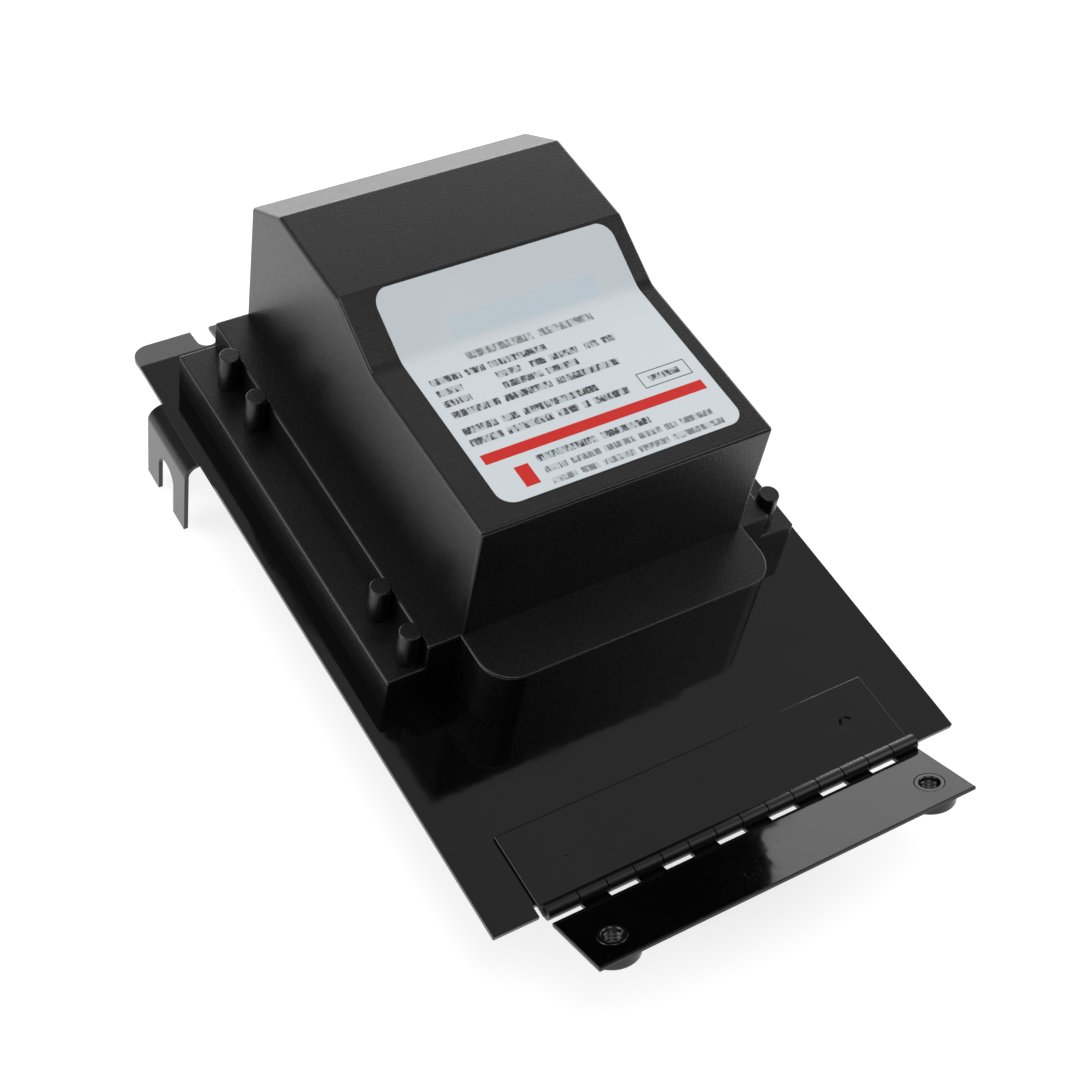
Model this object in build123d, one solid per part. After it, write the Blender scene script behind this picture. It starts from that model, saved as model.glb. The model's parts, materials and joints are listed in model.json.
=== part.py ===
from build123d import *
import math
import os

# Solid state igniter for an oil burner, millimetres, +Z up.
# Origin: centre of the base plate's underside. X runs along the hinge, +Y to the rear.

# Base plate
plate_width = 168.0
plate_length = 250.0
plate_t = 1.5
rear_corner_r = 6.5
front_corner_r = 0.5
lip_length = 10.5          # rear strip that turns down
lip_angle = 7.0
lip_bend_r = 8.0
rear_slot_w = 7.0
rear_slot_depth = 9.2
rear_slot_x = -57.8
notch_side_gap = 0.9       # beside the hinge barrel, each end
notch_depth = 3.8

# Fork bent down from the left edge
fork_width = 29.0
fork_y = 82.3
fork_drop = 31.0           # below the plate's top face
fork_bend_r = 5.4          # outside of the bend
fork_slot_w = 11.6
fork_slot_depth = 18.5

# Hinge
knuckle_pitch = 9.525
knuckle_count = 14
knuckle_gap = 0.24
cut_end = 1.3              # how much longer the strip is cut at its left end
leaf_t = 1.25
leaf_edge_r = 0.35         # of the leaves' upper edges
leaf_width = 28.3          # from the pin's axis
leaf_angle = 26.0          # how far the moving leaf stands up at rest
pin_d = 2.4
pin_clearance = 0.05       # on the radius
window_reach = 3.9         # from the pin's axis to the far side of the moving leaf's windows
window_clearance = 0.5     # from the barrel to the far side of the fixed leaf's windows
window_gap = 0.3
curl_gap_deg = 16.0        # open seam of each rolled knuckle
hinge_overhang = 0.5       # pin's axis ahead of the plate's front edge
nut_end_inset = 9.4
nut_reach = 18.3           # from the pin's axis
nut_flange_d = 16.2
nut_flange_t = 5.5
nut_shank_d = 9.4
nut_edge_r = 1.2
thread_bore_d = 5.4
leaf_hole_clearance = 0.1

# Moulded case, heights above the plate
case_length = 146.9
case_rear_setback = 21.8   # from the plate's rear edge
body_width = 102.0
deck_height = 70.7
hump_rise = 10.5           # from the deck
rear_edge_drop = 11.0      # from the hump
rear_chamfer_run = 17.9
hump_run = 38.4
slope_run = 22.7
body_edge_r = 1.3
slope_foot_r = 9.0
hump_brow_r = 3.0
step_width = 125.2
step_height = 24.0
flange_width = 151.0
flange_height = 13.4
nose_width = 103.8
nose_reach = 21.2
nose_corner_r = 11.0
block_edge_r = 0.8
wall = 2.6
boss_d = 6.8
boss_root_d = 7.8
boss_height = 27.0
boss_x = 65.9
boss_rows = (85.1, 65.4, -19.2, -37.6)
boss_top_r = 0.5

# Case screws
screw_d = 3.5
screw_clearance = 0.05
screw_length = 16.0
screw_head_d = 6.4
screw_sink = 0.05          # of the head below the plate's underside
screw_hole_d = 3.9
recess_w = 0.9
recess_length = 3.6
recess_depth = 1.0

# Rating label
label_width = 85.0
label_deck_run = 61.5      # along the deck, from the slope's foot
label_slope_run = 24.0     # up the slope
label_t = 0.2
label_corner_r = 5.5
label_x = 2.5

# Transformer
core_leg = 14.0
core_length = 91.0
core_pitch = 32.0
core_y = 61.0
core_height = 41.5
winding_gap = 0.3
bobbin_wall = 1.5
bobbin_flange_t = 1.6
secondary_length = 27.0
secondary_inset = 3.5
secondary_depth = 9.0
primary_length = 44.0
primary_depth = 3.6
coil_corner_r = 2.5

# Driver board
board_width = 88.0
board_length = 60.0
board_t = 1.6
board_y = -9.0
board_height = 21.0
board_inset = 5.0          # from a board edge to the parts along it
part_gap = 1.6             # between neighbours on the board
cap_d = 18.0
cap_length = 31.0
cap_groove_r = 0.8
cap_groove_inset = 9.5     # from the can's right end
film_size = (26.0, 10.5, 18.0)
film_corner_r = 1.0
bridge_size = (15.0, 4.6, 14.0)
sink_size = (44.0, 3.0, 30.0)
transistor_size = (10.2, 4.4, 13.0)
transistor_lift = 4.0      # from the board to the package
tab_t = 1.3
tab_rise = 6.0             # of the tab above the package
lead_pitch = 2.54
lead_width = 1.0
lead_t = 0.8
resistor_d = 5.0
resistor_length = 16.0
choke_d = 21.0
choke_hole_d = 9.0
choke_t = 9.5

# High-voltage terminals
terminal_x = 24.0
terminal_y = 77.0
insulator_neck_d = 22.0
insulator_neck_drop = 1.0  # below the plate's underside
insulator_stem_d = 17.0
insulator_collar_d = 30.0
insulator_collar_t = 4.0
insulator_clearance = 0.3
insulator_tip_d = 13.0
insulator_drop = 20.0      # below the plate's underside
insulator_rib_d = 21.8     # passes the plate's hole
insulator_rib_t = 2.6
insulator_rib_count = 3
insulator_rib_pitch = 5.4
stud_d = 5.0
stud_clearance = 0.1
stud_head_af = 8.0
stud_head_t = 3.5
stud_drop = 28.0
nut_af = 8.0
nut_t = 4.0
nut_clearance = 0.05       # on the radius
spring_width = 9.0
spring_t = 0.8
spring_reach = 22.0
spring_loop_r = 4.0
spring_leg = 9.0
spring_hook_deg = 150.0    # how far the hook rolls round
link_d = 1.6

# Ground strap and lead bushing
strap_width = 8.0
strap_t = 0.8
strap_foot = 12.0
strap_x = -38.5
bushing_x = 0.0
bushing_y = -28.0
bushing_hole_d = 15.9
bushing_bore_d = 9.0
bushing_flange_d = 20.0
bushing_flange_t = 2.4
bushing_sleeve_d = 13.0
bushing_height = 7.0
bushing_drop = 3.0         # below the plate's underside
bushing_clearance = 0.15
bushing_lead = 1.0         # chamfer at its lower end

# Worked out from the sizes above
plate_front = -plate_length / 2
plate_rear = plate_length / 2
barrel_r = pin_d / 2 + pin_clearance + leaf_t
hinge_length = knuckle_pitch * knuckle_count
strip_length = hinge_length + cut_end
hinge_middle = -cut_end / 2
hinge_y = plate_front - hinge_overhang
hinge_z = plate_t + barrel_r
case_rear = plate_rear - case_rear_setback
case_front = case_rear - case_length
slope_foot = case_rear - rear_chamfer_run - hump_run - slope_run
slope_angle = math.degrees(math.atan2(hump_rise, slope_run))
hump_height = deck_height + hump_rise


def solid(shape):
    """One clean solid from a result that may be wrapped in a list."""
    parts = shape.solids()
    return parts[0] if len(parts) == 1 else Compound(children=parts)


def box(x, y, z, size_x, size_y, size_z):
    """Box by the centre of its bottom face."""
    return Pos(x, y, z) * Box(size_x, size_y, size_z, align=(Align.CENTER, Align.CENTER, Align.MIN))


def cylinder(x, y, z, diameter, height):
    """Upright cylinder by the centre of its bottom face."""
    return Pos(x, y, z) * Cylinder(diameter / 2, height, align=(Align.CENTER, Align.CENTER, Align.MIN))


def hexagon(x, y, z, across_flats, height):
    """Upright hexagonal prism by the centre of its bottom face."""
    outline = RegularPolygon(across_flats / 2, 6, major_radius=False)
    return Pos(x, y, z) * extrude(outline, height)


def across(face, length):
    """A face drawn in the YZ plane, extruded along X and centred on it."""
    return extrude(face, length / 2, both=True)


def side_face(points):
    """Closed face in the YZ plane from (y, z) points."""
    return make_face(Polyline([(0, y, z) for y, z in points], close=True))


# Base plate

def plate_outline():
    with BuildSketch() as outline:
        Rectangle(plate_width, plate_length)
        fillet(outline.vertices().group_by(Axis.Y)[-1], rear_corner_r)
        fillet(outline.vertices().group_by(Axis.Y)[0], front_corner_r)
        with Locations((hinge_middle, plate_front)):
            Rectangle(strip_length + 2 * notch_side_gap, 2 * notch_depth, mode=Mode.SUBTRACT)
        slot_r = rear_slot_w / 2
        with Locations((rear_slot_x, plate_rear - rear_slot_depth + slot_r)):
            Circle(slot_r, mode=Mode.SUBTRACT)
            Rectangle(rear_slot_w, 2 * rear_slot_depth, align=(Align.CENTER, Align.MIN), mode=Mode.SUBTRACT)
        for side in (-1, 1):
            with Locations((side * terminal_x, terminal_y)):
                Circle(insulator_neck_d / 2 + insulator_clearance, mode=Mode.SUBTRACT)
            for row in boss_rows:
                with Locations((side * boss_x, row)):
                    Circle(screw_hole_d / 2, mode=Mode.SUBTRACT)
        with Locations((bushing_x, bushing_y)):
            Circle(bushing_hole_d / 2, mode=Mode.SUBTRACT)
    return outline.sketch


def plate_section():
    """Side view of the sheet: flat, then the gentle bend and the lip that turns down."""
    bend = math.radians(lip_angle)
    flat_end = plate_rear - lip_length
    inner = lip_bend_r
    outer = lip_bend_r + plate_t
    centre_z = -inner
    bend_y = flat_end + outer * math.sin(bend)
    bend_z = centre_z + outer * math.cos(bend)
    under_y = flat_end + inner * math.sin(bend)
    under_z = centre_z + inner * math.cos(bend)
    mid = bend / 2
    run = lip_length
    with BuildSketch(Plane.YZ) as section:
        with BuildLine():
            Line((plate_front, 0), (plate_front, plate_t))
            Line((plate_front, plate_t), (flat_end, plate_t))
            ThreePointArc(
                (flat_end, plate_t),
                (flat_end + outer * math.sin(mid), centre_z + outer * math.cos(mid)),
                (bend_y, bend_z),
            )
            tip = (bend_y + run * math.cos(bend), bend_z - run * math.sin(bend))
            tip_under = (tip[0] - plate_t * math.sin(bend), tip[1] - plate_t * math.cos(bend))
            Line((bend_y, bend_z), tip)
            Line(tip, tip_under)
            Line(tip_under, (under_y, under_z))
            ThreePointArc(
                (under_y, under_z),
                (flat_end + inner * math.sin(mid), centre_z + inner * math.cos(mid)),
                (flat_end, 0),
            )
            Line((flat_end, 0), (plate_front, 0))
        make_face()
    return section.sketch


def fork():
    """Slotted fork: the sheet bends down over a large radius and ends in two prongs."""
    edge = -plate_width / 2
    inner = fork_bend_r - plate_t
    centre_z = plate_t - fork_bend_r
    bottom = plate_t - fork_drop
    root = 2 * plate_t
    diagonal = math.sqrt(0.5)
    with BuildSketch(Plane.XZ) as section:
        with BuildLine():
            Line((edge + root, 0), (edge + root, plate_t))
            Line((edge + root, plate_t), (edge, plate_t))
            ThreePointArc(
                (edge, plate_t),
                (edge - fork_bend_r * diagonal, centre_z + fork_bend_r * diagonal),
                (edge - fork_bend_r, centre_z),
            )
            Line((edge - fork_bend_r, centre_z), (edge - fork_bend_r, bottom))
            Line((edge - fork_bend_r, bottom), (edge - inner, bottom))
            Line((edge - inner, bottom), (edge - inner, centre_z))
            ThreePointArc(
                (edge - inner, centre_z),
                (edge - inner * diagonal, centre_z + inner * diagonal),
                (edge, 0),
            )
            Line((edge, 0), (edge + root, 0))
        make_face()
    sheet = Pos(0, fork_y, 0) * extrude(section.sketch, fork_width / 2, both=True)
    slot_r = fork_slot_w / 2
    slot_top = bottom + fork_slot_depth
    with BuildSketch(Plane.YZ) as slot:
        with Locations((fork_y, slot_top - slot_r)):
            Circle(slot_r)
            Rectangle(fork_slot_w, 2 * fork_slot_depth, align=(Align.CENTER, Align.MAX))
    cut = Pos(edge - fork_bend_r / 2, 0, 0) * extrude(slot.sketch, fork_bend_r, both=True)
    return sheet - cut


def countersink(x, y, height, reach):
    """45 degree cone under the plate, reach wide at the underside and on up to height."""
    return Pos(x, y, 0) * Cone(reach, reach - height, height, align=(Align.CENTER, Align.CENTER, Align.MIN))


def base_plate():
    sheet = across(plate_section(), plate_width)
    blank = Pos(0, 0, -plate_length) * extrude(plate_outline(), 2 * plate_length)
    plate = (sheet & blank) + fork()
    reach = screw_head_d / 2 + screw_sink
    for x, y in screw_places():
        plate = plate - countersink(x, y, reach - screw_hole_d / 2, reach)
    return plate


# Hinge

def knuckle_span(index):
    """Left and right end of a knuckle's place; the first one runs out to the strip's cut end."""
    left = -hinge_length / 2 + index * knuckle_pitch
    return left - (cut_end if index == 0 else 0), left + knuckle_pitch


def rolled_leaf(first_knuckle, direction, reach):
    """A leaf with every second knuckle rolled from it, flat, its pin's axis on the origin.

    direction is +1 for a leaf that runs to +Y and -1 for one that runs to -Y. reach is how
    far its windows go from the pin's axis.
    """
    bore_r = barrel_r - leaf_t
    start = -90.0
    sweep = 360.0 - curl_gap_deg
    mid = math.radians(start - direction * sweep / 2)
    end = math.radians(start - direction * sweep)
    with BuildSketch(Plane.YZ) as section:
        with BuildLine():
            ThreePointArc(
                (0, -barrel_r),
                (barrel_r * math.cos(mid), barrel_r * math.sin(mid)),
                (barrel_r * math.cos(end), barrel_r * math.sin(end)),
            )
            Line(
                (barrel_r * math.cos(end), barrel_r * math.sin(end)),
                (bore_r * math.cos(end), bore_r * math.sin(end)),
            )
            ThreePointArc(
                (bore_r * math.cos(end), bore_r * math.sin(end)),
                (bore_r * math.cos(mid), bore_r * math.sin(mid)),
                (0, -bore_r),
            )
            Line((0, -bore_r), (0, -barrel_r))
        make_face()
    curl = section.sketch
    strip_end = direction * leaf_width
    strip = side_face([(0, -barrel_r), (strip_end, -barrel_r), (strip_end, -bore_r), (0, -bore_r)])
    leaf = Pos(hinge_middle, 0, 0) * across(strip, strip_length)
    upper = leaf.edges().group_by(Axis.Z)[-1]
    leaf = fillet([edge for edge in upper if abs(edge.center().Y) > leaf_t], leaf_edge_r)
    for index in range(knuckle_count):
        left, right = knuckle_span(index)
        middle = Pos((left + right) / 2, 0, 0)
        if index % 2 == first_knuckle:
            leaf = leaf + middle * across(curl, right - left - knuckle_gap)
        else:
            leaf = leaf - middle * Box(right - left + 2 * window_gap, 2 * reach, 4 * barrel_r)
    return leaf


def to_hinge(shape, angle=0.0):
    """Place a hinge piece on its axis, raised by angle at the front."""
    return Pos(0, hinge_y, hinge_z) * Rot(-angle, 0, 0) * shape


def hinge_fixed_leaf():
    return to_hinge(rolled_leaf(0, 1, barrel_r + window_clearance))


def nut_x(side):
    return side * (hinge_length / 2 - nut_end_inset)


def hinge_moving_leaf():
    leaf = rolled_leaf(1, -1, window_reach)
    for side in (-1, 1):
        hole_d = nut_shank_d + 2 * leaf_hole_clearance
        leaf = leaf - cylinder(nut_x(side), -nut_reach, -2 * barrel_r, hole_d, 4 * barrel_r)
    return to_hinge(leaf, leaf_angle)


def hinge_pin():
    pin = Pos(hinge_middle, 0, 0) * Rot(0, 90, 0) * Cylinder(pin_d / 2, strip_length - knuckle_gap)
    return to_hinge(pin)


def mount_nut(side):
    """Clinch nut: round flange under the leaf, shank flush with its top face."""
    under = -barrel_r
    with BuildSketch(Plane.XZ) as section:
        with BuildLine():
            Polyline(
                (thread_bore_d / 2, under - nut_flange_t),
                (nut_flange_d / 2, under - nut_flange_t),
                (nut_flange_d / 2, under),
                (nut_shank_d / 2, under),
                (nut_shank_d / 2, under + leaf_t),
                (thread_bore_d / 2, under + leaf_t),
                (thread_bore_d / 2, under - nut_flange_t),
            )
        make_face()
        corner = section.vertices().group_by(Axis.X)[-1].sort_by(Axis.Y)[0]
        fillet(corner, nut_edge_r)
    body = revolve(section.sketch, Axis.Z)
    return to_hinge(Pos(nut_x(side), -nut_reach, 0) * body, leaf_angle)


# Moulded case

def body_points(inset, foot):
    """Side view of the upper body, drawn in by inset, its bottom edge at height foot."""
    lean = math.radians(slope_angle)
    back = math.atan2(rear_edge_drop, rear_chamfer_run)
    deck = plate_t + deck_height - inset
    hump = plate_t + hump_height - inset
    rear = case_rear - inset
    front = case_front + inset
    foot_y = slope_foot + inset * math.tan(lean / 2)
    brow_y = slope_foot + slope_run + inset * math.tan(lean / 2)
    crown_y = case_rear - rear_chamfer_run - inset * math.tan(back / 2)
    rear_z = plate_t + hump_height - rear_edge_drop - inset * math.tan(math.pi / 4 - back / 2)
    return [
        (front, foot), (front, deck), (foot_y, deck), (brow_y, hump),
        (crown_y, hump), (rear, rear_z), (rear, foot),
    ]


def upper_body():
    points = body_points(0, plate_t)
    with BuildSketch(Plane.YZ) as section:
        with BuildLine():
            Polyline(*points, close=True)
        make_face()
        foot, brow = section.vertices().sort_by(Axis.X)[2:4]
        fillet(foot, slope_foot_r)
        fillet(brow, hump_brow_r)
    body = solid(across(section.sketch, body_width))
    edges = [edge for edge in body.edges() if edge.bounding_box().max.Z > plate_t + block_edge_r]
    return fillet(edges, body_edge_r)


def block(width, front, rear, height, edge_r):
    """Low block of the case from the plate's top up, with its upper edges eased."""
    shape = solid(box(0, (front + rear) / 2, plate_t, width, rear - front, height))
    edges = [edge for edge in shape.edges() if edge.bounding_box().max.Z > plate_t + edge_r]
    return fillet(edges, edge_r)


def nose(inset, height, edge_r):
    """Rounded front block below the deck's front wall."""
    radius = nose_corner_r - inset
    front = case_front - nose_reach + inset
    depth = case_front + wall + radius - front
    with BuildSketch() as outline:
        with Locations((0, front)):
            Rectangle(nose_width - 2 * inset, depth, align=(Align.CENTER, Align.MIN))
        fillet(outline.vertices().group_by(Axis.Y)[0], radius)
    shape = solid(Pos(0, 0, plate_t) * extrude(outline.sketch, height))
    if edge_r:
        shape = fillet(shape.faces().sort_by(Axis.Z)[-1].edges(), edge_r)
    return shape


def boss(x, y):
    """Slightly drafted blind boss; it also carries the screw down to the plate."""
    shape = Pos(x, y, plate_t) * Cone(
        boss_root_d / 2, boss_d / 2, boss_height, align=(Align.CENTER, Align.CENTER, Align.MIN)
    )
    return fillet(solid(shape).edges().group_by(Axis.Z)[-1], boss_top_r)


def screw_places():
    return [(side * boss_x, row) for side in (-1, 1) for row in boss_rows]


def cavity():
    """Open space inside the case, from the plate's top face up."""
    inner = across(side_face(body_points(wall, plate_t)), body_width - 2 * wall)
    front = case_front + wall
    rear = case_rear - wall
    for width, height in ((step_width, step_height), (flange_width, flange_height)):
        inner = inner + box(0, (front + rear) / 2, plate_t, width - 2 * wall, rear - front, height - wall)
    inner = inner + nose(wall, step_height - wall, 0)
    for x, y in screw_places():
        inner = inner - cylinder(x, y, 0, boss_root_d, plate_t + boss_height)
    return inner


def housing_case(inner):
    shape = upper_body()
    shape = shape + block(flange_width, case_front, case_rear, flange_height, block_edge_r)
    shape = shape + block(step_width, case_front, case_rear, step_height, block_edge_r)
    shape = shape + nose(0, step_height, block_edge_r)
    for x, y in screw_places():
        shape = shape + boss(x, y)
    shape = shape - inner
    for x, y in screw_places():
        shape = shape - cylinder(x, y, plate_t, screw_d + 2 * screw_clearance, screw_length)
    return shape


def case_screws():
    """Flat-headed screws, flush with the plate, cutting their own thread in the bosses."""
    screws = []
    reach = screw_head_d / 2 + screw_sink
    for x, y in screw_places():
        head = countersink(x, y, reach - screw_d / 2, reach) - cylinder(x, y, 0, screw_head_d + 1, screw_sink)
        shank_top = plate_t + screw_length - 2 * screw_clearance
        shank = cylinder(x, y, screw_sink, screw_d, shank_top - screw_sink)
        recess = box(x, y, screw_sink, recess_w, recess_length, recess_depth)
        recess = recess + box(x, y, screw_sink, recess_length, recess_w, recess_depth)
        screws.append(solid(head + shank - recess))
    return Compound(children=screws)


def rating_label():
    """Thin label that runs down the slope, round its foot and along the deck."""
    lean = math.radians(slope_angle)
    half = slope_foot_r * math.tan(lean / 2)
    deck = plate_t + deck_height
    front = slope_foot - label_deck_run
    centre = (slope_foot - half, deck + slope_foot_r)
    top = (
        slope_foot + label_slope_run * math.cos(lean),
        deck + label_slope_run * math.sin(lean),
    )
    raised = slope_foot_r - label_t

    def on_foot(radius, angle):
        return (centre[0] + radius * math.sin(angle), centre[1] - radius * math.cos(angle))

    top_out = (top[0] - label_t * math.sin(lean), top[1] + label_t * math.cos(lean))
    with BuildSketch(Plane.YZ) as section:
        with BuildLine():
            Line((front, deck), on_foot(slope_foot_r, 0))
            ThreePointArc(
                on_foot(slope_foot_r, 0), on_foot(slope_foot_r, lean / 2), on_foot(slope_foot_r, lean)
            )
            Line(on_foot(slope_foot_r, lean), top)
            Line(top, top_out)
            Line(top_out, on_foot(raised, lean))
            ThreePointArc(on_foot(raised, lean), on_foot(raised, lean / 2), on_foot(raised, 0))
            Line(on_foot(raised, 0), (front, deck + label_t))
            Line((front, deck + label_t), (front, deck))
        make_face()
    strip = across(section.sketch, label_width)
    with BuildSketch() as outline:
        with Locations((0, (front + top[0]) / 2)):
            RectangleRounded(label_width, top[0] - front, label_corner_r)
    trim = Pos(0, 0, deck - deck_height) * extrude(outline.sketch, 2 * deck_height)
    return Pos(label_x, 0, 0) * (strip & trim)


# Transformer

def core_half(side):
    """Ferrite U half, legs along X, the two halves meeting at the middle."""
    reach = core_length / 2
    z = core_height - core_leg / 2
    half = box(side * reach / 2, core_y, z, reach, core_pitch + core_leg, core_leg)
    window = box(side * (reach - core_leg) / 2, core_y, z, reach - core_leg, core_pitch - core_leg, core_leg)
    return half - window


def sleeve(x, y, length, hole, outer, corner_r):
    """Square tube along X round a core leg, centred at x, y and the core's height."""
    with BuildSketch(Plane.YZ) as section:
        with Locations((y, core_height)):
            RectangleRounded(outer, outer, corner_r)
            Rectangle(hole, hole, mode=Mode.SUBTRACT)
    return Pos(x, 0, 0) * across(section.sketch, length)


def bobbin(x, y, length, depth):
    hole = core_leg + 2 * winding_gap
    tube = hole + 2 * bobbin_wall
    shape = sleeve(x, y, length, hole, tube, bobbin_wall / 2)
    for side in (-1, 1):
        place = x + side * (length - bobbin_flange_t) / 2
        shape = shape + sleeve(place, y, bobbin_flange_t, hole, tube + 2 * depth, coil_corner_r)
    return shape


def coil(x, y, length, depth):
    tube = core_leg + 2 * winding_gap + 2 * bobbin_wall
    return sleeve(x, y, length - 2 * bobbin_flange_t, tube, tube + 2 * depth, coil_corner_r)


def secondary_x(side):
    return side * (secondary_inset + secondary_length / 2)


def secondary_y():
    return core_y + core_pitch / 2


def primary_y():
    return core_y - core_pitch / 2


# Driver board and its parts

def board_top():
    return board_height + board_t


def circuit_board():
    return box(0, board_y, board_height, board_width, board_length, board_t)


def left_end(length):
    """Centre of a part that stands at the board's left edge."""
    return -board_width / 2 + board_inset + length / 2


def right_end(length):
    return board_width / 2 - board_inset - length / 2


def sink_y():
    return board_y - board_length / 2 + board_inset + sink_size[1] / 2


def behind(y, depth, next_depth):
    """Centre of the next part to the rear of one at y."""
    return y + depth / 2 + part_gap + next_depth / 2


def transistor_y():
    return sink_y() + sink_size[1] / 2 + transistor_size[1] / 2


def choke_y():
    return behind(transistor_y(), transistor_size[1], choke_d)


def resistor_y():
    return behind(sink_y(), bridge_size[1], resistor_d)


def heat_sink():
    return box(left_end(sink_size[0]), sink_y(), board_top(), *sink_size)


def power_transistor():
    """Flat power package against the heat sink, its tab up and three legs down."""
    x = left_end(sink_size[0])
    y = transistor_y()
    z = board_top() + transistor_lift
    width, depth, height = transistor_size
    shape = box(x, y, z, width, depth, height)
    shape = shape + box(x, y - depth / 2 + tab_t / 2, z, width, tab_t, height + tab_rise)
    for place in (-lead_pitch, 0, lead_pitch):
        shape = shape + box(x + place, y, board_top(), lead_width, lead_t, transistor_lift)
    return shape


def bulk_capacitor():
    """Electrolytic capacitor lying on the board, with the rolled groove near one end."""
    x = right_end(cap_length)
    y = behind(resistor_y(), resistor_d, cap_d)
    z = board_top() + cap_d / 2
    groove_x = x + cap_length / 2 - cap_groove_inset
    groove = Pos(groove_x, y, z) * Rot(0, 90, 0) * Torus(cap_d / 2, cap_groove_r)
    return Pos(x, y, z) * Rot(0, 90, 0) * Cylinder(cap_d / 2, cap_length) - groove


def film_capacitor():
    y = behind(choke_y(), choke_d, film_size[1])
    shape = box(left_end(film_size[0]), y, board_top(), *film_size)
    return fillet(solid(shape).edges().filter_by(Axis.Z), film_corner_r)


def bridge_rectifier():
    return box(right_end(bridge_size[0]), sink_y(), board_top(), *bridge_size)


def power_resistor():
    place = Pos(right_end(resistor_length), resistor_y(), board_top() + resistor_d / 2)
    return place * Rot(0, 90, 0) * Cylinder(resistor_d / 2, resistor_length)


def filter_choke():
    """Toroid lying flat on the board."""
    x = left_end(choke_d)
    outer = cylinder(x, choke_y(), board_top(), choke_d, choke_t)
    return outer - cylinder(x, choke_y(), board_top(), choke_hole_d, choke_t)


# High-voltage terminals

def insulator(side):
    """Ribbed bushing: collar on the plate, neck through it, ribs and tip below."""
    collar_r = insulator_collar_d / 2
    neck_r = insulator_neck_d / 2
    bore_r = stud_d / 2 + stud_clearance
    stem_r = insulator_stem_d / 2
    tip_r = insulator_tip_d / 2
    points = [(bore_r, plate_t + insulator_collar_t), (collar_r, plate_t + insulator_collar_t)]
    points += [(collar_r, plate_t), (neck_r, plate_t), (neck_r, -insulator_neck_drop)]
    points += [(stem_r, -insulator_neck_drop)]
    for index in range(insulator_rib_count):
        top = -insulator_rib_pitch * (index + 0.5)
        taper = (tip_r - stem_r) * (index + 0.5) / insulator_rib_count
        rib = insulator_rib_d / 2 + taper
        points += [(stem_r + taper, top), (rib, top - insulator_rib_t / 2), (stem_r + taper, top - insulator_rib_t)]
    points += [(tip_r, -insulator_drop), (bore_r, -insulator_drop)]
    section = make_face(Polyline([(x, 0, z) for x, z in points], close=True))
    return Pos(side * terminal_x, terminal_y, 0) * revolve(section, Axis.Z)


def stud_head_z():
    return plate_t + insulator_collar_t


def terminal_stud(side):
    x = side * terminal_x
    shank = cylinder(x, terminal_y, -stud_drop, stud_d, stud_head_z() + stud_drop)
    return shank + hexagon(x, terminal_y, stud_head_z(), stud_head_af, stud_head_t)


def terminal_nut(side):
    x = side * terminal_x
    z = -insulator_drop - spring_t - nut_t
    nut = hexagon(x, terminal_y, z, nut_af, nut_t)
    return nut - cylinder(x, terminal_y, z, stud_d + 2 * nut_clearance, nut_t)


def contact_spring(side):
    """Strip clamped under the tip, running forward and rolled into a hooked contact."""
    top = -insulator_drop
    loop = spring_loop_r
    start = terminal_y + spring_width / 2
    bend = terminal_y - spring_reach
    with BuildLine(Plane.YZ) as path:
        Line((start, top - spring_t / 2), (bend, top - spring_t / 2))
        CenterArc((bend, top - spring_t / 2 - loop), loop, 90, spring_hook_deg)
        end = path.line @ 1
        tail = math.radians(90 + spring_hook_deg + 90)
        Line(end, (end.Y + spring_leg * math.cos(tail), end.Z + spring_leg * math.sin(tail)))
    strip = offset(path.line, spring_t / 2, side=Side.BOTH)
    face = make_face(strip.edges())
    shape = Pos(side * terminal_x, 0, 0) * across(face, spring_width)
    hole_d = stud_d + 2 * nut_clearance
    return shape - cylinder(side * terminal_x, terminal_y, top - 2 * spring_t, hole_d, 3 * spring_t)


def hv_link(side):
    """Short link from the stud's head up to the coil."""
    top = core_height - core_leg / 2 - winding_gap - bobbin_wall - secondary_depth
    foot = stud_head_z() + stud_head_t
    return cylinder(side * terminal_x, secondary_y(), foot, link_d, top - foot)


def ground_strap():
    """Folded strip: foot on the plate, riser, and a top tab against the core."""
    core_bottom = core_height - core_leg / 2
    foot_y = core_y - strap_foot / 2
    foot = box(strap_x, foot_y, plate_t, strap_width, strap_foot, strap_t)
    riser = box(strap_x, core_y - strap_t / 2, plate_t, strap_width, strap_t, core_bottom - plate_t)
    tab = box(strap_x, core_y + strap_foot / 4, core_bottom - strap_t, strap_width, strap_foot / 2, strap_t)
    return foot + riser + tab


def bushing_profile(bore_r):
    """Flange on the plate, sleeve in the resin and a neck that stands out below."""
    neck_r = bushing_hole_d / 2 - bushing_clearance
    flange_r = bushing_flange_d / 2
    sleeve_r = bushing_sleeve_d / 2
    flange_top = plate_t + bushing_flange_t
    return [
        (bore_r, -bushing_drop), (neck_r - bushing_lead, -bushing_drop), (neck_r, bushing_lead - bushing_drop),
        (neck_r, plate_t), (flange_r, plate_t), (flange_r, flange_top), (sleeve_r, flange_top),
        (sleeve_r, bushing_height), (bore_r, bushing_height),
    ]


def turned(points, x, y):
    section = make_face(Polyline([(r, 0, z) for r, z in points], close=True))
    return Pos(x, y, 0) * revolve(section, Axis.Z)


def lead_bushing():
    return turned(bushing_profile(bushing_bore_d / 2), bushing_x, bushing_y)


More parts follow.
